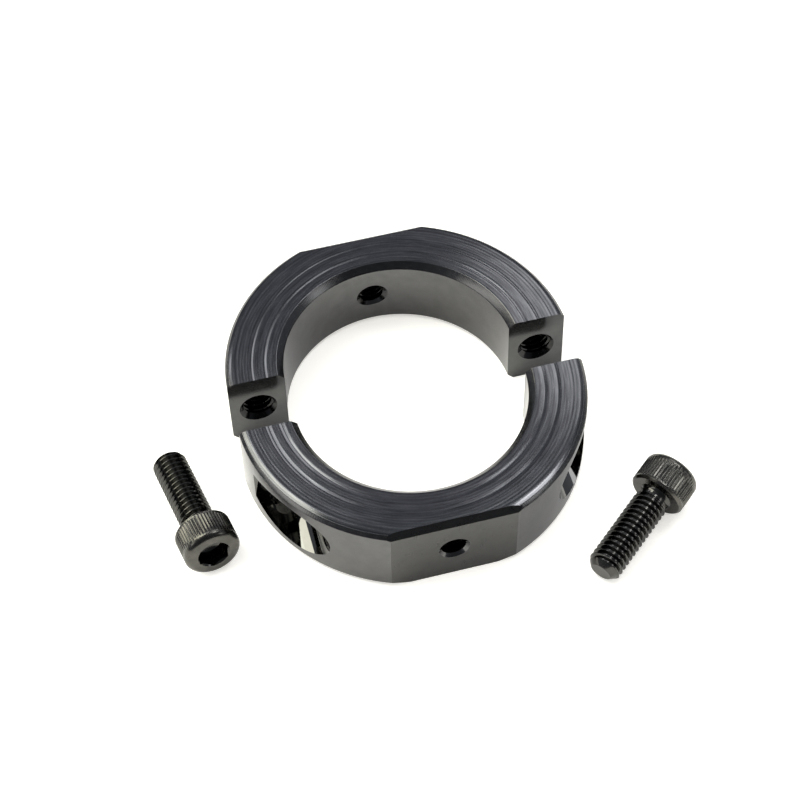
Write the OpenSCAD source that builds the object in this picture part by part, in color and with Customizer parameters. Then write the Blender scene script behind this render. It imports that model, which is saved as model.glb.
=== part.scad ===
// Two-piece shaft collar, taken apart: two clamping halves and the two cap screws that draw them
// together on a shaft. The halves lie flat with the rear one drawn straight off the front one, and
// the screws lie loose beside them, each on the rim of its head and the end of its thread.
//
// Origin: on the bore axis of the front half, at the middle of its width.
// +X runs along the parting line, +Y along the clamp screws towards the rear half, +Z up the bore.
// Every piece rests on the plane z = -width / 2. Millimetres and degrees.

/* [Collar] */
// Diameter of the shaft that the collar clamps, and of its bore when closed
bore_d = 40; // [30:0.5:60]
// Thickness of the ring, from the bore to the outside diameter
wall = 10; // [9:0.5:16]
// Width of the collar along the shaft
width = 15; // [14:0.5:25]
// Gap that the saw cut leaves between the closed halves
saw_gap = 2.5; // [0.8:0.1:4]
// Chamfer on the outside edges and along the top of the flats
edge_chamfer = 1; // [0.4:0.1:1.5]
// Chamfer on both edges of the bore
bore_chamfer = 1.1; // [0.4:0.1:1.6]
// Depth of the flat milled across the back of each half
flat_depth = 2; // [1:0.25:4]

/* [Clamp screws] */
// Thread diameter of the clamp screws
screw_d = 6; // [4:0.5:7]
// Thread pitch of the clamp screws
screw_pitch = 1; // [0.5:0.05:1.25]
// Length of a clamp screw under its head
screw_length = 17; // [12:1:20]
// Diameter of the screw head
head_d = 9.8; // [8:0.1:10.5]
// Height of the screw head
head_h = 5.9; // [4:0.1:8]
// Chamfer round the top of the head
head_chamfer = 0.7; // [0.2:0.1:0.9]
// Chamfer round the underside of the head
rim_chamfer = 0.4; // [0.2:0.1:0.8]
// Width across the flats of the hexagon socket
socket_width = 5; // [3:0.5:6]
// Depth of the hexagon socket
socket_depth = 3; // [2:0.25:3.5]
// Chamfer on the end of the thread
tip_chamfer = 0.7; // [0.3:0.1:1]

/* [Screw holes] */
// Thickness of the front half under the screw head
grip = 6; // [4:0.25:9]
// Room round the thread in its clearance hole
thread_clearance = 0.3; // [0.1:0.05:0.5]
// Room round the head in its counterbore
head_clearance = 0.35; // [0.1:0.05:0.5]

/* [Radial holes] */
// Thread diameter of the tapped hole through each flat
radial_d = 5; // [3:0.5:6]
// Thread pitch of the radial holes
radial_pitch = 0.8; // [0.5:0.05:1]
// How far each countersink opens beyond its thread
countersink_lip = 0.15; // [0.05:0.05:0.4]

/* [Layout] */
// How far the rear half is drawn off the front half
opening = 7.1; // [0:0.1:40]
// Gap between the collar and the head of the left screw
left_screw_gap = 6.2; // [3:0.1:30]
// Direction of the left screw's head from the bore axis
left_screw_bearing = -163.3; // [-175:0.1:-150]
// Direction in which the left screw points
left_screw_yaw = 99.8; // [90:0.1:150]
// Turn of the left screw about its own axis
left_screw_turn = 8; // [0:1:59]
// Gap between the collar and the head of the right screw
right_screw_gap = 9.1; // [3:0.1:30]
// Direction of the right screw's head from the bore axis
right_screw_bearing = -35.2; // [-60:0.1:-20]
// Direction in which the right screw points
right_screw_yaw = -140.8; // [-160:0.1:-100]
// Turn of the right screw about its own axis
right_screw_turn = 20; // [0:1:59]

/* [Hidden] */
bore_r = bore_d / 2;
outer_r = bore_r + wall;
screw_x = bore_r + wall / 2;         // clamp screws run down the middle of the wall
flat_y = outer_r - flat_depth;       // distance from the bore axis to a flat
part_y = saw_gap / 2;                // each sawn face stands this far off the axis
seat_y = part_y + grip;              // screw head's seat, below the axis in the front half
screw_tap_d = screw_d - screw_pitch; // tapped holes are drawn at their tapping drill
radial_tap_d = radial_d - radial_pitch;
clear_d = screw_d + 2 * thread_clearance;
counterbore_d = head_d + 2 * head_clearance;
head_r = head_d / 2;
socket_mouth_d = socket_width / cos(30);
screw_tilt = atan((head_r - screw_d / 2) / (screw_length - tip_chamfer + rim_chamfer));
screw_lift = head_r * cos(screw_tilt) - rim_chamfer * sin(screw_tilt); // lying on head rim and tip
over = 1;                            // how far a cut runs past the face that it opens
steel = [0.22, 0.22, 0.23];
screw_steel = [0.13, 0.13, 0.13];
$fn = 96;

// A drill or cutter of diameter d along +Y, from y0 to y1
module drill(d, y0, y1)
    translate([0, y0, 0]) rotate([-90, 0, 0]) cylinder(d = d, h = y1 - y0);

// A 90 degree countersink in a face at y, opening towards -Y, from diameter d0 in the hole to d1 in the face
module countersink(d0, d1, y)
    translate([0, y, 0]) rotate([-90, 0, 0]) translate([0, 0, -over])
        cylinder(d1 = d1 + 2 * over, d2 = d0, h = (d1 - d0) / 2 + over);

// Both clamp screw positions
module at_screws()
    for (side = [-1, 1]) translate([side * screw_x, 0, 0]) children();

// The turned ring, with its four edges chamfered in the lathe
module turned_ring()
    rotate_extrude($fn = 180) polygon([
        [bore_r + bore_chamfer, -width / 2],
        [outer_r - edge_chamfer, -width / 2],
        [outer_r, edge_chamfer - width / 2],
        [outer_r, width / 2 - edge_chamfer],
        [outer_r - edge_chamfer, width / 2],
        [bore_r + bore_chamfer, width / 2],
        [bore_r, width / 2 - bore_chamfer],
        [bore_r, bore_chamfer - width / 2]
    ]);

// What the mill takes off for the flat: the back beyond flat_y, and a chamfer along its top edge
module flat_cut()
    rotate([90, 0, 90]) linear_extrude(2 * outer_r, center = true) polygon([
        [flat_y, -width / 2 - over],
        [outer_r + over, -width / 2 - over],
        [outer_r + over, width / 2 + over],
        [flat_y - edge_chamfer - over, width / 2 + over],
        [flat_y, width / 2 - edge_chamfer]
    ]);

// Everything on the far side of the saw cut from a half that lies at +Y
module saw_cut()
    translate([-outer_r - over, part_y - 2 * outer_r, -width])
        cube([2 * (outer_r + over), 2 * outer_r, 2 * width]);

// The tapped hole through the flat into the bore, countersunk at the flat and eased at the bore
module radial_hole() {
    rim_d = radial_d + 2 * countersink_lip;
    drill(radial_tap_d, 0, outer_r);
    mirror([0, 1, 0]) countersink(radial_tap_d, rim_d, -flat_y);
    countersink(radial_tap_d, rim_d, bore_r);
}

// What both halves share, lying at +Y: half the ring, its flat and its radial hole
module plain_half()
    difference() {
        turned_ring();
        saw_cut();
        flat_cut();
        radial_hole();
    }

// Front half: clearance holes, counterbored from the back until the heads sink into the wall
module front_half()
    color(steel) difference() {
        mirror([0, 1, 0]) plain_half();
        at_screws() {
            drill(clear_d, -seat_y - over, 0);
            drill(counterbore_d, -outer_r - over, -seat_y);
        }
    }

// Rear half: tapped holes that run out through the outside diameter
module rear_half()
    color(steel) translate([0, opening, 0]) difference() {
        plain_half();
        at_screws() {
            drill(screw_tap_d, 0, outer_r);
            countersink(screw_tap_d, screw_d + 2 * countersink_lip, part_y);
        }
    }

// Socket head cap screw along +Z: underside of the head at z = 0, end of the thread at screw_length
module cap_screw()
    difference() {
        rotate_extrude() polygon([
            [0, -head_h],
            [head_r - head_chamfer, -head_h],
            [head_r, head_chamfer - head_h],
            [head_r, -rim_chamfer],
            [head_r - rim_chamfer, 0],
            [screw_d / 2, 0],
            [screw_d / 2, screw_length - tip_chamfer],
            [screw_d / 2 - tip_chamfer, screw_length],
            [0, screw_length]
        ]);
        translate([0, 0, -head_h - over]) {
            cylinder(d = socket_mouth_d, h = socket_depth + over, $fn = 6);
            mouth_depth = (socket_mouth_d - socket_width) / 2;
            cylinder(d1 = socket_mouth_d + 2 * over, d2 = socket_width, h = mouth_depth + over);
        }
        translate([0, 0, socket_depth - head_h])
            cylinder(d1 = socket_width, d2 = 0, h = socket_width / 2 * tan(30));
    }

// A screw lying on the ground: its head at a gap and bearing from the collar, pointing along yaw
module lying_screw(gap, bearing, yaw, turn) {
    reach = outer_r + head_r + gap;
    translate([reach * cos(bearing), reach * sin(bearing), screw_lift - width / 2])
        rotate([0, 90 + screw_tilt, yaw]) rotate([0, 0, turn]) cap_screw();
}

module left_screw()
    color(screw_steel)
        lying_screw(left_screw_gap, left_screw_bearing, left_screw_yaw, left_screw_turn);

module right_screw()
    color(screw_steel)
        lying_screw(right_screw_gap, right_screw_bearing, right_screw_yaw, right_screw_turn);

front_half();
rear_half();
left_screw();
right_screw();
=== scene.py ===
# %% [markdown]
# # A two-piece shaft collar, taken apart
# A shaft collar is a steel ring that clamps on a shaft. This one was turned as a ring, sawn in two,
# and blackened. Its halves lie apart with their two clamp screws loose beside them.
# The solid model is loaded first as a fixed frame. Every visible piece is then made again with the
# detail that a solid model leaves out: threads, tool marks, knurling and the black finish.

# %% Load the frame
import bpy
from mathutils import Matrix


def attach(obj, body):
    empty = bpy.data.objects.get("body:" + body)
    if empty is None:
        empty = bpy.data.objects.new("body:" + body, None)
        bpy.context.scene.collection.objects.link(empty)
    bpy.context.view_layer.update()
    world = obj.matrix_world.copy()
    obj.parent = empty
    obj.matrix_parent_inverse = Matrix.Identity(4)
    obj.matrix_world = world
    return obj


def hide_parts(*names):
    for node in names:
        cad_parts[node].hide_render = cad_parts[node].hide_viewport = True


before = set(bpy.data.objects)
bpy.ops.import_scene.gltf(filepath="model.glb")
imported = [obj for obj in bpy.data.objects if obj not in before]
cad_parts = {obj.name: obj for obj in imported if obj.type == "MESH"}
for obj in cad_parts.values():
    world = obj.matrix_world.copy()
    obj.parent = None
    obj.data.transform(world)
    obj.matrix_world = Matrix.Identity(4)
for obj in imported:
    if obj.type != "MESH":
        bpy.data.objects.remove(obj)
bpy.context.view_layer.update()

# %% [markdown]
# ## The camera
# The picture was taken from in front and well above, with a long lens. The camera's place was fitted
# to the edges of the ring, so it is written here as numbers: turn about Z, tilt down, and a small roll.

# %% Camera
import bpy, bmesh
from math import atan2, cos, degrees, hypot, pi, radians, sin, tan
from mathutils import Matrix, Vector

camera = bpy.data.objects.new("camera", bpy.data.cameras.new("camera"))
camera.data.lens, camera.data.sensor_width = 90.708, 36
camera.data.clip_start = 0.01
camera.matrix_world = (Matrix.Translation((-0.0493714, -0.1941379, 0.2834172))
                       @ Matrix.Rotation(radians(-13.751035), 4, "Z")
                       @ Matrix.Rotation(radians(35.654320), 4, "X")
                       @ Matrix.Rotation(radians(-1.220078), 4, "Z"))
bpy.context.scene.collection.objects.link(camera)
bpy.context.scene.camera = camera
bpy.context.scene.view_settings.view_transform = "Standard"
print("camera stands", round(camera.location.length * 1000), "mm from the bore axis")

# %% [markdown]
# ## Small tools for making meshes
# All sizes below are in millimetres, as on a drawing, and become metres in one place. A piece starts as
# a list of points and faces. Holes are cut with Blender's exact boolean, as a drill would cut them.

# %% Mesh helpers
MM = 0.001


def solid(name, points, faces, place=Matrix()):
    """A mesh object from points in mm, placed by a matrix that is also in mm."""
    mesh = bpy.data.meshes.new(name)
    mesh.from_pydata([place @ Vector(p) * MM for p in points], [], faces)
    made = bpy.data.objects.new(name, mesh)
    bpy.context.scene.collection.objects.link(made)
    return made


def join(pieces):
    """Puts several solids into the first one's mesh, and clears the others away."""
    whole = bmesh.new()
    for piece in pieces:
        whole.from_mesh(piece.data)
    whole.to_mesh(pieces[0].data)
    whole.free()
    for piece in pieces[1:]:
        bpy.data.meshes.remove(piece.data)
    return pieces[0]


def cut(piece, *cutters, how="DIFFERENCE"):
    """Cuts a piece with other solids, all in one go, and clears them away."""
    knife = piece.modifiers.new("cut", "BOOLEAN")
    knife.operation, knife.solver, knife.object = how, "EXACT", join(cutters)
    bpy.context.view_layer.update()
    done = bpy.data.meshes.new_from_object(piece.evaluated_get(bpy.context.evaluated_depsgraph_get()))
    piece.modifiers.clear()
    old, piece.data = piece.data, done
    bpy.data.meshes.remove(old)
    bpy.data.meshes.remove(cutters[0].data)


# %% [markdown]
# ## Turned shapes
# A lathe spins a profile round an axis. `turned` does the same with a list of (radius, height) points that
# starts and ends on the axis, and is used for drills, countersinks and the parts of a screw.

# %% Turning
def turned(name, profile, place=Matrix(), steps=96):
    """Spins (radius, z) points, whose first and last lie on the axis, into a closed solid."""
    points = [(0, 0, profile[0][1]), (0, 0, profile[-1][1])]
    rings = profile[1:-1]
    for r, z in rings:
        points += [(r * cos(2 * pi * i / steps), r * sin(2 * pi * i / steps), z) for i in range(steps)]
    at = lambda ring, i: 2 + ring * steps + i % steps
    faces = []
    for i in range(steps):
        faces += [(0, at(0, i + 1), at(0, i)), (1, at(len(rings) - 1, i), at(len(rings) - 1, i + 1))]
        faces += [(at(k, i), at(k, i + 1), at(k + 1, i + 1), at(k + 1, i)) for k in range(len(rings) - 1)]
    return solid(name, points, faces, place)


# %% [markdown]
# ## Threads
# A screw thread is one ridge wound round a rod. Each turn here joins the next, so the whole rod is one
# closed skin. The same rod serves twice: as the thread of a screw, and as the tap that cuts a nut thread.

# %% A threaded rod
def threaded_rod(name, crest_r, root_r, pitch, start, turns, place=Matrix(), steps=48, root_share=0.25):
    """A right-hand 60 degree thread along +Z, from z = start, closed at both ends."""
    crest_share = 0.125
    rise = (1 - root_share - crest_share) / 2
    ridge = [(0, root_r), (root_share, root_r), (root_share + rise, crest_r), (1 - rise, crest_r)]
    last, wide = turns * steps, len(ridge)
    points, index = [], {}
    for i in range(last + steps + 1):
        turn = 2 * pi * i / steps
        for j, (along, r) in enumerate(ridge if i <= last else ridge[:1]):
            index[i, j] = len(points)
            points.append((r * cos(turn), r * sin(turn), start + pitch * (i / steps + along)))
    for i in range(last + 1):
        index[i, wide] = index[i + steps, 0]
    faces = [(index[i, j], index[i + 1, j], index[i + 1, j + 1], index[i, j + 1])
             for i in range(last) for j in range(wide)]
    low = [index[i, 0] for i in range(steps + 1)]
    low += [index[0, j] for j in range(wide - 1, 0, -1)]
    high = [index[last + i, 0] for i in range(steps + 1)]
    high += [index[last, j] for j in range(wide - 1, 0, -1)]
    ends = ((low, start + pitch / 2, False), (high, start + pitch * (turns + 0.5), True))
    for loop, z, turn_over in ends:
        points.append((0, 0, z))
        for a, b in zip(loop, loop[1:] + loop[:1]):
            faces.append((a, b, len(points) - 1) if turn_over else (b, a, len(points) - 1))
    return solid(name, points, faces, place)


# %% [markdown]
# ## The ring's profile
# The ring is 40 mm in the bore, 60 mm outside and 15 mm wide. Its top face carries what the photograph
# shows best: two shallow round grooves that mark the face turned true to the bore, a faint tool step, and
# a slight bevel before the outer chamfer. They are a tenth of a millimetre deep, so the profile is fine
# enough there to bend the light rightly.

# %% Profile of the ring
BORE_R, OUTER_R, HALF_W = 20.0, 30.0, 7.5
# Two marker grooves and a tool step: radius, width inside that radius, width outside it, depth
MARKS = [(22.72, 0.56, 0.53, 0.073), (25.0, 0.70, 0.54, 0.064), (27.5, 0.35, 0.35, 0.010)]
BEVEL_IN, BEVEL_OUT, BEVEL_EASE = 28.5, 29.4, 0.35
BEVEL_BEND, BEVEL_SLOPE, BEVEL_CURL = 0.37, 0.26, 0.06  # how it starts to fall, its slope after that, how that grows
BORE_CHAMFER, EDGE_CHAMFER, TOP_CHAMFER = 1.1, 1.0, 0.56  # the last one is how far the top outer chamfer drops
CORNER_EASE, FACE_STEP = 0.1, 0.07


def face_height(r):
    """Height of the top face at radius r, with its marker grooves and the slight bevel before its chamfer."""
    z = HALF_W
    for middle, inside, outside, depth in MARKS:
        share = (r - middle) / (inside if r < middle else outside)
        if abs(share) < 1:
            z -= depth * 0.5 * (1 + cos(pi * share))
    past = max(0, r - BEVEL_IN)
    eased = min(past, BEVEL_EASE)
    straight = past - eased
    return z - BEVEL_BEND * eased ** 2 - BEVEL_SLOPE * straight - BEVEL_CURL * straight ** 2


def softened(corners, ease):
    """Rounds every corner of a closed outline with five points, so that its edge catches a thin light."""
    outline = []
    for k, corner in enumerate(corners):
        p, before, after = (Vector(c) for c in (corner, corners[k - 1], corners[(k + 1) % len(corners)]))
        a, b = p + (before - p).normalized() * ease, p + (after - p).normalized() * ease
        for t in (0, 0.25, 0.5, 0.75, 1):
            outline.append(tuple((a * (1 - t) + p * t) * (1 - t) + (p * (1 - t) + b * t) * t))
    return outline


inner_r = BORE_R + BORE_CHAMFER
corners = [(inner_r, -HALF_W), (OUTER_R - EDGE_CHAMFER, -HALF_W), (OUTER_R, EDGE_CHAMFER - HALF_W),
           (OUTER_R, face_height(BEVEL_OUT) - TOP_CHAMFER), (BEVEL_OUT, face_height(BEVEL_OUT)),
           (inner_r, HALF_W), (BORE_R, HALF_W - BORE_CHAMFER), (BORE_R, BORE_CHAMFER - HALF_W)]
outline = softened(corners, CORNER_EASE)
face_count = int((BEVEL_OUT - inner_r - 3 * CORNER_EASE) / FACE_STEP)
face_radii = [BEVEL_OUT - 1.2 * CORNER_EASE - FACE_STEP * k for k in range(face_count)]
top_start = 5 * 5  # the top face begins after the fifth corner, and each corner has five points
ring_profile = outline[:top_start] + [(r, face_height(r)) for r in face_radii] + outline[top_start:]
print("ring profile has", len(ring_profile), "points")

# %% [markdown]
# ## Half a ring
# Half a turn is spun, then trimmed as in the shop: the saw's plane stands 1.25 mm off the bore axis, the
# mill's plane cuts the flat 28 mm from the axis, and a third plane breaks the top edge of the flat. The saw
# wandered by two degrees in the rear half, as the reflections in its cut show. Bisecting a mesh with a plane
# and filling the cut is quick and leaves clean flat faces.

# %% Sawn and milled half
SAW_Y, FLAT_Y = 1.25, 28.0


def half_ring(name, lean=0.0):
    """Half of the turned ring, on the +Y side, with its sawn ends and its flat."""
    turns = [radians(a) for a in range(181)]
    points = [(r * cos(a), r * sin(a), z) for a in turns for r, z in ring_profile]
    n = len(ring_profile)
    faces = [(i * n + k, (i + 1) * n + k, (i + 1) * n + (k + 1) % n, i * n + (k + 1) % n)
             for i in range(len(turns) - 1) for k in range(n)]
    half = solid(name, points, faces)
    bm = bmesh.new()
    bm.from_mesh(half.data)
    bmesh.ops.remove_doubles(bm, verts=bm.verts, dist=1e-7)
    for y, z, normal in ((SAW_Y, 0, (0, -1, lean)), (FLAT_Y, 0, (0, 1, 0)),
                         (FLAT_Y, HALF_W - EDGE_CHAMFER, (0, 1, 1))):
        sliced = bmesh.ops.bisect_plane(bm, geom=bm.verts[:] + bm.edges[:] + bm.faces[:], dist=1e-7,
                                        plane_co=Vector((0, y, z)) * MM, plane_no=normal, clear_outer=True)
        rim = [e for e in sliced["geom_cut"] if isinstance(e, bmesh.types.BMEdge)]
        bmesh.ops.edgeloop_fill(bm, edges=rim)
    bmesh.ops.recalc_face_normals(bm, faces=bm.faces)
    bm.to_mesh(half.data)
    bm.free()
    return half


# %% [markdown]
# ## Drills and taps
# Every hole in the halves runs along Y. A stepped drill, turned from one profile, makes a hole with its
# countersinks or counterbore in one go. A tap, which is a threaded rod, then cuts the thread between them.

# %% Drills and taps
along_y = Matrix.Rotation(radians(-90), 4, "X")


def drill(x, profile, steps=96):
    """A stepped drill at x, from (radius, y) points."""
    whole = [(0, profile[0][1])] + profile + [(0, profile[-1][1])]
    return turned("drill", whole, Matrix.Translation((x, 0, 0)) @ along_y, steps)


def tap(x, crest_r, root_r, pitch, y0, turns):
    """A threaded rod at x that starts at y0."""
    return threaded_rod("tap", crest_r, root_r, pitch, y0, turns, Matrix.Translation((x, 0, 0)) @ along_y)


# %% [markdown]
# ## The two halves
# Both halves get the radial hole, tapped M5 and countersunk at the flat and at the bore. The rear one is
# tapped M6 for the clamp screws, right through its outside. The front one has clearance holes, counterbored
# so that the screw heads sink into the wall. All holes of a half are drilled at once and tapped at once, as
# a cut through an earlier fine cut tends to fail. The front half is then turned half round, which keeps its
# threads right-handed.

# %% Rear half and front half
SCREW_X, SEAT_Y, OPENING = 25.0, 7.25, 7.1
SIDES = (-SCREW_X, SCREW_X)
SAW_LEAN = 0.035
MIRROR_STEPS = 264  # the counterbores' smooth walls mirror the lamps, so they need many sides
radial = [(3.65, 19), (2.12, 20.53), (2.12, 27.47), (3.65, 29)]
clamp = [(4.55, 0), (2.52, 2.03), (2.52, 31)]
counterbored = [(3.3, -2), (3.3, SEAT_Y), (5.25, SEAT_Y), (5.25, 32)]
m5 = (2.56, 2.1, 0.8, 20.7, 7)  # crest radius, root radius, pitch, start and turns
m6 = (3.04, 2.5, 1.0, 0.35, 29)
rear = half_ring("collar_rear_half", SAW_LEAN)
cut(rear, drill(0, radial), *[drill(x, clamp) for x in SIDES])
cut(rear, tap(0, *m5), *[tap(x, *m6) for x in SIDES])
front = half_ring("collar_front_half")
cut(front, drill(0, radial), *[drill(x, counterbored, MIRROR_STEPS) for x in SIDES])
cut(front, tap(0, *m5))
front.data.transform(Matrix.Rotation(pi, 4, "Z"))
rear.location.y = OPENING * MM
print("faces: front", len(front.data.polygons), "rear", len(rear.data.polygons))

# %% [markdown]
# ## Surfaces of a half
# Each machined surface has its own tool marks, so each gets its own finish: turned side faces, turned
# outside and bore, chamfers, the milled flat, the sawn ends, the bored holes and the threads. A face is
# sorted by where it lies and which way it looks.

# %% Sort the faces of a half
TURNED_FACE, TURNED_WALL, CHAMFER, MILLED, SAWN, BORED, TAPPED = range(7)
RADIAL_ZONE, CLAMP_ZONE = 2.7, 3.4  # a face this near to the axis of a tapped hole belongs to the hole


def sort_faces(half):
    """Gives each face the number of its finish, smooths it, and keeps real edges sharp."""
    for face in half.data.polygons:
        x, y, z = (abs(c) / MM for c in face.center)
        r, n = hypot(x, y), face.normal
        along_drill = abs(n.y) > 0.999
        in_radial = hypot(x, z) < RADIAL_ZONE
        in_hole = in_radial or half is rear and hypot(x - SCREW_X, z) < CLAMP_ZONE
        mouth = in_radial and 0.6 < abs(n.y) < 0.8 and min(abs(y - BORE_R), abs(y - FLAT_Y)) < 0.6
        flat_chamfer = abs(abs(n.y) - abs(n.z)) < 0.01 and y > 26.9 and z > 6.4
        if along_drill and y < 2:
            face.material_index = SAWN
        elif along_drill and abs(y - FLAT_Y) < 0.01 or flat_chamfer:
            face.material_index = MILLED
        elif abs(n.z) > 0.9 and z > 7:
            face.material_index = TURNED_FACE
        elif z > 6.38:
            face.material_index = CHAMFER
        elif abs(r - OUTER_R) < 0.05 or abs(r - BORE_R) < 0.03 or mouth:
            face.material_index = TURNED_WALL
        elif in_hole:
            face.material_index = TAPPED
        else:
            face.material_index = BORED
        face.use_smooth = True
    half.data.set_sharp_from_angle(angle=radians(16))


for half in (front, rear):
    sort_faces(half)
    kinds = [f.material_index for f in half.data.polygons]
    print(half.name, {k: kinds.count(k) for k in sorted(set(kinds))})

# %% [markdown]
# ## A clamp screw
# Each clamp is an M6 socket head cap screw, 17 mm long, with a 5 mm hexagon socket. Its head is knurled
# with straight teeth, which run out before the rounded top edge. The head is built ring by ring: each ring
# takes its radius from the head's profile, and its teeth are sunk by a depth that fades towards the top.

# %% Head of the screw
HEAD_R, HEAD_H, RIM_BEVEL, TOP_ROUND = 4.9, 5.9, 0.4, 1.2
TEETH, TOOTH, TOOTH_STEPS = 56, 0.13, 6
KNURL = (-4.9, -3.7, -0.95, -0.55)  # the teeth fade in between the first two heights, and out between the last
INSIDE_R = 2.4                      # the head's end faces are fans out to here, within the socket and the neck


def knurled_head(name):
    """The head from z = -HEAD_H to 0, with its teeth, rounded top edge and bevelled rim."""
    arc = [radians(a) for a in (90, 75, 60, 45, 30, 15, 0)]
    profile = [(INSIDE_R, -HEAD_H)]
    profile += [(HEAD_R - TOP_ROUND * (1 - cos(a)), -HEAD_H + TOP_ROUND * (1 - sin(a))) for a in arc]
    profile += [(HEAD_R, z) for z in (-4.5, -4.1, -3.7, -0.95, -0.75, -0.55, -RIM_BEVEL)]
    profile += [(HEAD_R - RIM_BEVEL * t, -RIM_BEVEL * (1 - t)) for t in (0.33, 0.67, 1)]
    profile += [(INSIDE_R, 0)]
    steps = TEETH * TOOTH_STEPS
    points = [(0, 0, -HEAD_H), (0, 0, 0)]
    for r, z in profile:
        rising = (z - KNURL[0]) / (KNURL[1] - KNURL[0])
        falling = (KNURL[3] - z) / (KNURL[3] - KNURL[2])
        fade = max(0, min(1, rising, falling))
        for i in range(steps):
            tooth = HEAD_R - 0.02 - fade * TOOTH * (0.5 - 0.5 * cos(2 * pi * i / TOOTH_STEPS)) ** 0.8
            reach, turn = min(r, tooth), 2 * pi * i / steps
            points.append((reach * cos(turn), reach * sin(turn), z))
    at = lambda k, i: 2 + k * steps + i % steps
    last = len(profile) - 1
    faces = [(at(k, i), at(k, i + 1), at(k + 1, i + 1), at(k + 1, i)) for k in range(last) for i in range(steps)]
    faces += [(0, at(0, i + 1), at(0, i)) for i in range(steps)]
    faces += [(1, at(last, i), at(last, i + 1)) for i in range(steps)]
    return solid(name, points, faces)


# %% [markdown]
# ## Socket and thread of the screw
# The hexagon socket is forged over a drilled hole, so it ends in a cone, and its mouth is eased by a
# countersink. The thread is rolled: a short neck stays plain under the head, and the end is bevelled. The end
# was cut after the rolling, so it takes the head's rougher finish.

# %% Finish a screw
SOCKET, SOCKET_DEEP, SOCKET_ZONE, MOUTH_R = 5.0, 3.0, 2.87, 2.80  # a face within the zone's radius is the socket's
THREAD_R, ROOT_R, PITCH = 3.0, 2.40, 1.0
LENGTH, TIP, CUT_END = 17.0, 0.7, 1.2
KNURLED, ROLLED = range(2)


def cap_screw(name, place):
    """A whole screw, with its head's underside at the origin of its place and its thread along +Z."""
    screw = knurled_head(name)
    corner = SOCKET / 2 / cos(radians(30))
    hexagon = [(corner * cos(radians(60 * i)), corner * sin(radians(60 * i)), z)
               for z in (-HEAD_H - 1, -HEAD_H + SOCKET_DEEP) for i in range(6)]
    walls = [(i, (i + 1) % 6, 6 + (i + 1) % 6, 6 + i) for i in range(6)]
    cut(screw, solid("key", hexagon, walls + [(5, 4, 3, 2, 1, 0), (6, 7, 8, 9, 10, 11)]))
    deep, drill_r = SOCKET_DEEP - HEAD_H, SOCKET / 2
    cut(screw, turned("point", [(0, deep - 0.5), (drill_r, deep - 0.5), (drill_r, deep),
                                (0, deep + drill_r * tan(radians(30)))]))
    cut(screw, turned("mouth", [(0, -HEAD_H - 1), (MOUTH_R + 1, -HEAD_H - 1), (0, MOUTH_R - HEAD_H)]))
    thread = threaded_rod("thread", THREAD_R, ROOT_R, PITCH, 0.2, 18, steps=56, root_share=0.2)
    cut(thread, turned("blank", [(0, -0.2), (2.62, -0.2), (2.62, 1.3), (3.2, 1.9), (3.2, LENGTH - 1.35),
                                 (1.95, LENGTH - 0.06), (1.85, LENGTH), (0, LENGTH)], steps=64), how="INTERSECT")
    neck = turned("neck", [(0, -0.3), (2.95, -0.3), (2.95, 0.05), (2.7, 0.3), (2.6, 0.6), (2.6, 1.6), (0, 1.6)],
                  steps=64)
    join((screw, thread, neck))
    for face in screw.data.polygons:
        face.use_smooth = True
        in_socket = face.center.xy.length < SOCKET_ZONE * MM and face.center.z > (0.01 - HEAD_H) * MM
        on_thread = 0.01 * MM < face.center.z < (LENGTH - CUT_END) * MM or in_socket
        face.material_index = ROLLED if on_thread else KNURLED
    screw.data.set_sharp_from_angle(angle=radians(30))
    screw.data.transform(place)
    return screw


# %% [markdown]
# ## Where the screws lie
# A loose cap screw comes to rest on the rim of its head and the end of its thread, so it leans by about six
# degrees. Each one's bearing from the collar, its heading and its roll follow the solid model.

# %% Lay both screws down
tilt = atan2(HEAD_R - THREAD_R, LENGTH - TIP + RIM_BEVEL)
lift = HEAD_R * cos(tilt) - RIM_BEVEL * sin(tilt)


def lay_screw(name, gap, bearing, heading, roll):
    """A screw whose head lies at this gap and bearing from the collar, pointing along its heading."""
    reach = OUTER_R + HEAD_R + gap
    spot = Vector((reach * cos(radians(bearing)), reach * sin(radians(bearing)), lift - HALF_W)) * MM
    return cap_screw(name, Matrix.Translation(spot) @ Matrix.Rotation(radians(heading), 4, "Z")
                     @ Matrix.Rotation(pi / 2 + tilt, 4, "Y") @ Matrix.Rotation(radians(roll), 4, "Z"))


left_screw = lay_screw("cap_screw_left", 6.2, -163.3, 99.8, 8)
right_screw = lay_screw("cap_screw_right", 9.1, -35.2, -140.8, 20)
print("a screw leans", round(degrees(tilt), 2), "degrees and has", len(left_screw.data.polygons), "faces")

# %% [markdown]
# ## Tools for the finishes
# Black oxide turns the skin of the steel dark grey but keeps its sheen, so every finish here is a metal with
# a dark colour. What differs is the tool marks. Two small helpers wire nodes so that each finish stays short:
# one for any node tree, and one for a material.

# %% Node helpers
class Nodes:
    """A node tree: add() makes a node, sets its inputs and returns one of its outputs."""

    def __init__(self, tree):
        self.tree = tree

    def add(self, kind, inputs=(), out=0, **settings):
        node = self.tree.nodes.new(kind)
        for key, value in settings.items():
            setattr(node, key, value)
        for key, value in dict(inputs).items():
            self.put(node.inputs[key], value)
        return node.outputs[out]

    def put(self, socket, value):
        if isinstance(value, bpy.types.NodeSocket):
            self.tree.links.new(value, socket)
        else:
            socket.default_value = value

    def math(self, how, a, b=0.0):
        return self.add("ShaderNodeMath", {0: a, 1: b}, operation=how)

    def spread(self, value, low, high):
        """Maps a noise's middle range on low to high."""
        return self.add("ShaderNodeMapRange", {0: value, 1: 0.3, 2: 0.7, 3: low, 4: high})


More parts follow.
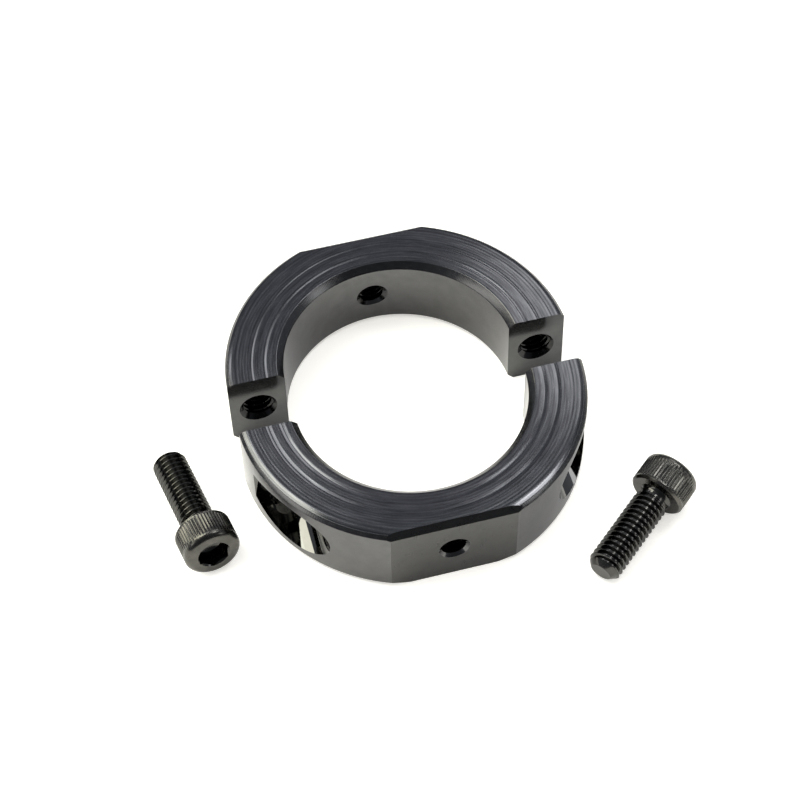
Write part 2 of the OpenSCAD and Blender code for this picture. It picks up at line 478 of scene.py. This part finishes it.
class Finish(Nodes):
    """A node material around one Principled shader."""

    def __init__(self, name):
        self.material = bpy.data.materials.new(name)
        self.material.use_nodes = True
        super().__init__(self.material.node_tree)
        self.shader = self.tree.nodes["Principled BSDF"]

    def set(self, name, value):
        self.put(self.shader.inputs[name], value)

    def shade(self, value, dark, light):
        """Mixes two colours by a noise."""
        share = self.spread(value, 0, 1)
        self.set("Base Color", self.add("ShaderNodeMix", {0: share, 6: (*dark, 1), 7: (*light, 1)}, out=2,
                                        data_type="RGBA"))

    def bump(self, height, depth):
        """Tool marks of this depth in millimetres, from a height of 0 to 1."""
        bumped = self.add("ShaderNodeBump", {"Strength": 1.0, "Distance": depth * MM, "Height": height})
        self.set("Normal", bumped)


# %% [markdown]
# ## Turned side faces
# A facing tool leaves fine rings, so the metal stretches highlights across them. The rings come from noise
# on the radius alone, and the stretch points along the radius, both taken from the object's own coordinates,
# whose origin is on the bore axis. Short streaks along the rings, a noise on the radius and the heading
# round the axis, keep the oxide from looking printed.

# %% Finish of the side faces
def turned_face_finish():
    f = Finish("turned_face_black_oxide")
    where = f.add("ShaderNodeTexCoord", out=3)
    x, y = (f.add("ShaderNodeSeparateXYZ", {0: where}, out=k) for k in range(2))
    flat = f.add("ShaderNodeCombineXYZ", {0: x, 1: y})
    r = f.add("ShaderNodeVectorMath", {0: flat}, out=1, operation="LENGTH")
    rings = f.add("ShaderNodeTexNoise", {"W": r, "Scale": 2600.0, "Detail": 1.0}, noise_dimensions="1D")
    broad = f.add("ShaderNodeTexNoise", {"W": r, "Scale": 900.0, "Detail": 2.0}, noise_dimensions="1D")
    both = f.math("ADD", f.math("MULTIPLY", rings, 0.6), f.math("MULTIPLY", broad, 0.4))
    heading = f.add("ShaderNodeVectorMath", {0: flat}, operation="NORMALIZE")
    climb = f.add("ShaderNodeCombineXYZ", {2: f.math("MULTIPLY", r, 2600.0)})
    spiral = f.add("ShaderNodeVectorMath", {0: heading, 1: (6.0, 6.0, 6.0), 2: climb}, operation="MULTIPLY_ADD")
    streaks = f.add("ShaderNodeTexNoise", {"Vector": spiral, "Scale": 1.0, "Detail": 1.0})
    mottle = f.math("ADD", f.math("MULTIPLY", both, 0.8), f.math("MULTIPLY", streaks, 0.6))
    f.shade(f.math("SUBTRACT", mottle, 0.2), (0.068, 0.069, 0.074), (0.146, 0.147, 0.154))
    f.set("Roughness", f.spread(both, 0.15, 0.21))
    f.set("Tangent", flat)
    f.set("Metallic", 1.0)
    f.set("Anisotropic", 0.6)
    f.bump(both, 0.004)
    return f.material


# %% [markdown]
# ## Chamfers
# A chamfer is cut with the side of the tool, which chatters: it leaves ribs across the chamfer, about three
# to a millimetre. They are waves on the angle round the bore axis, and they break up its highlights.

# %% Finish of the chamfers
def chamfer_finish():
    f = Finish("chamfer_black_oxide")
    where = f.add("ShaderNodeTexCoord", out=3)
    x, y = (f.add("ShaderNodeSeparateXYZ", {0: where}, out=k) for k in range(2))
    spots = f.add("ShaderNodeTexNoise", {"Vector": where, "Scale": 900.0, "Detail": 3.0})
    ribs = f.math("SINE", f.math("MULTIPLY", f.math("ARCTAN2", y, x), 430.0))
    f.shade(spots, (0.095, 0.095, 0.097), (0.122, 0.122, 0.121))
    f.set("Roughness", f.spread(spots, 0.18, 0.26))
    f.set("Metallic", 1.0)
    f.bump(f.math("ADD", f.math("MULTIPLY", ribs, 0.5), spots), 0.003)
    return f.material


# %% [markdown]
# ## Other finishes
# The outside and the bore were turned too, with finer rings up the wall. The flat was milled, the ends were
# sawn and dressed, and the counterbores were bored to a black mirror. The tapped threads are coloured darker
# as painted shade, for the shade inside their holes. One maker serves them all: the marks run along a chosen
# axis, at a chosen spacing.

# %% Finishes of walls, flat, ends, holes and screws
def marked_finish(name, dark, light, rough, stretch, scale, depth):
    """Metal with a mottle and streaked tool marks, whose noise is scaled by stretch along X, Y and Z."""
    f = Finish(name)
    where = f.add("ShaderNodeTexCoord", out=3)
    spots = f.add("ShaderNodeTexNoise", {"Vector": where, "Scale": 500.0, "Detail": 4.0})
    along = f.add("ShaderNodeVectorMath", {0: where, 1: stretch}, operation="MULTIPLY")
    marks = f.add("ShaderNodeTexNoise", {"Vector": along, "Scale": scale, "Detail": 3.0})
    f.shade(spots, dark, light)
    f.set("Roughness", f.spread(f.math("MULTIPLY", f.math("ADD", spots, marks), 0.5), *rough))
    f.set("Metallic", 1.0)
    f.bump(marks, depth)
    return f.material


half_finishes = [
    turned_face_finish(),
    marked_finish("turned_wall_black_oxide", (0.105, 0.105, 0.1055), (0.123, 0.123, 0.1235), (0.12, 0.17),
                  (0.05, 0.05, 1.0), 5000.0, 0.0012),
    chamfer_finish(),
    marked_finish("milled_flat_black_oxide", (0.079, 0.079, 0.077), (0.088, 0.088, 0.085), (0.26, 0.32),
                  (1.0, 1.0, 0.08), 3000.0, 0.0004),
    marked_finish("sawn_end_black_oxide", (0.082, 0.083, 0.084), (0.096, 0.097, 0.097), (0.09, 0.13),
                  (0.1, 1.0, 1.0), 2500.0, 0.0006),
    marked_finish("counterbore_black_mirror", (0.136, 0.136, 0.132), (0.150, 0.150, 0.145), (0.03, 0.05),
                  (1.0, 1.0, 1.0), 900.0, 0.0001),
    # painted shade: the tapped threads are coloured far darker than the walls, for the shade inside their holes
    marked_finish("tapped_thread_painted_shade", (0.030, 0.030, 0.031), (0.048, 0.048, 0.047), (0.12, 0.2),
                  (1.0, 1.0, 1.0), 2500.0, 0.0010)]
screw_finishes = [
    marked_finish("knurled_head_black", (0.073, 0.072, 0.065), (0.112, 0.109, 0.098), (0.20, 0.30),
                  (1.0, 1.0, 1.0), 2500.0, 0.0015),
    marked_finish("rolled_thread_black", (0.062, 0.062, 0.059), (0.084, 0.083, 0.077), (0.12, 0.19),
                  (1.0, 1.0, 1.0), 2500.0, 0.0010)]
for pieces, finishes in (((front, rear), half_finishes), ((left_screw, right_screw), screw_finishes)):
    for piece in pieces:
        kinds = [face.material_index for face in piece.data.polygons]  # clearing the slots would reset these
        piece.data.materials.clear()
        for finish in finishes:
            piece.data.materials.append(finish)
        piece.data.polygons.foreach_set("material_index", kinds)
print("finishes", [m.name for m in half_finishes + screw_finishes])

# %% [markdown]
# ## Join the pieces to the frame
# Each detailed piece stands for one solid of the frame, which is hidden, and rides on that solid's body,
# so that it moves with that body.

# %% Ride on the bodies
for piece, node, body, slot in ((front, "front_half", "front", "black_oxide"),
                                (rear, "rear_half", "rear", "black_oxide"),
                                (left_screw, "left_screw", "front", "screw_black"),
                                (right_screw, "right_screw", "front", "screw_black")):
    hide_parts(node)
    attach(piece, body)

# %% [markdown]
# ## The floor
# The collar lies on white paper that is lit past white. The floor is a white diffuse sheet with a little
# light of its own for the camera and for reflections, so it stays white but keeps a faint shadow.

# %% Floor
PAPER = 1500
floor = solid("floor", [(x * PAPER, y * PAPER, -HALF_W) for x, y in ((-1, -1), (1, -1), (1, 1), (-1, 1))],
              [(0, 1, 2, 3)])
paper = Finish("white_ground")
camera_ray, glossy_ray, through_ray = (paper.add("ShaderNodeLightPath", out=k) for k in (0, 3, 6))
mirrored = paper.math("MAXIMUM", glossy_ray, through_ray)
paper.set("Base Color", (0.82, 0.82, 0.815, 1))
paper.set("Roughness", 0.9)
paper.set("Emission Color", (1.0, 0.985, 0.93, 1))
paper.set("Emission Strength", paper.math("ADD", paper.math("MULTIPLY", camera_ray, 0.5),
                                          paper.math("MULTIPLY", mirrored, 0.02)))
floor.data.materials.append(paper.material)

# %% [markdown]
# ## The light
# The bright bands on the grooves and bevels show where the lamps stood: softboxes high on the left and right,
# strips behind, and weaker panels at the sides. The camera's side was dark, which makes the front chamfers
# black. Two more lamps light the paper only, and reflections leave them out.

# %% Lamps
def softbox(name, azimuth, elevation, wide, tall, glow, colour=(1, 1, 1), away=1.2):
    """An area lamp seen from the collar at these angles, wide by tall degrees, with this brightness."""
    a, e = radians(azimuth), radians(elevation)
    way = Vector((cos(e) * cos(a), cos(e) * sin(a), sin(e)))
    lamp = bpy.data.lights.new(name, "AREA")
    lamp.shape, lamp.color = "RECTANGLE", colour
    lamp.size, lamp.size_y = 2 * away * tan(radians(wide / 2)), 2 * away * tan(radians(tall / 2))
    lamp.energy = glow * 4 * lamp.size * lamp.size_y
    stand = bpy.data.objects.new(name, lamp)
    stand.location = way * away
    stand.rotation_euler = way.to_track_quat("Z", "Y").to_euler()
    bpy.context.scene.collection.objects.link(stand)
    return stand


softbox("strip_back_left", 107.5, 61.5, 12, 15, 2.7)
softbox("strip_high_right", 53, 65, 9, 8, 1.6)
softbox("softbox_left", 141, 58, 23, 24, 4.4, (1.0, 1.0, 0.85))
softbox("softbox_left_low", 141, 34, 23, 24, 3.8, (1.0, 0.97, 0.82))
softbox("softbox_right", 11, 63, 14, 13, 6.2)
softbox("panel_back_right", 55, 46, 19.5, 17, 1.9)
softbox("strip_low_left", 119, 39.5, 9, 3, 4.0)
softbox("panel_left", 180, 27, 36, 14, 1.7, (1.0, 0.98, 0.92))
softbox("panel_right_front", 328, 29, 15, 12, 1.7)
for name, azimuth, elevation, size, glow in (("left_on_paper", 150, 53, 42, 3.0),
                                             ("top_on_paper", 0, 90, 100, 0.8)):
    softbox(name, azimuth, elevation, size, size, glow, (1.0, 0.97, 0.9)).visible_glossy = False

# %% [markdown]
# ## The dome
# The world is a smooth dome of light, painted by direction: palest high behind the collar, where the side
# faces look, dimmer elsewhere, and dark on the side where the camera stood.

# %% World
world = bpy.data.worlds.new("studio_dome")
bpy.context.scene.world = world
world.use_nodes = True
sky = Nodes(world.node_tree)
way = sky.add("ShaderNodeTexCoord", out=0)
behind = sky.add("ShaderNodeVectorMath", {0: way, 1: (0.142, 0.570, 0.809)}, out=1, operation="DOT_PRODUCT")
glow = sky.add("ShaderNodeMapRange", {0: behind, 1: 0.55, 2: 0.97, 3: 0.26, 4: 0.37},
               interpolation_type="SMOOTHSTEP")
front_side = sky.add("ShaderNodeVectorMath", {0: way, 1: (0.05, -0.87, 0.5)}, out=1, operation="DOT_PRODUCT")
shade = sky.add("ShaderNodeMapRange", {0: front_side, 1: 0.45, 2: 0.9, 3: 1.0, 4: 0.4})
background = world.node_tree.nodes["Background"]
background.inputs["Color"].default_value = (0.92, 0.97, 1.08, 1)
sky.put(background.inputs["Strength"], sky.math("MULTIPLY", glow, shade))
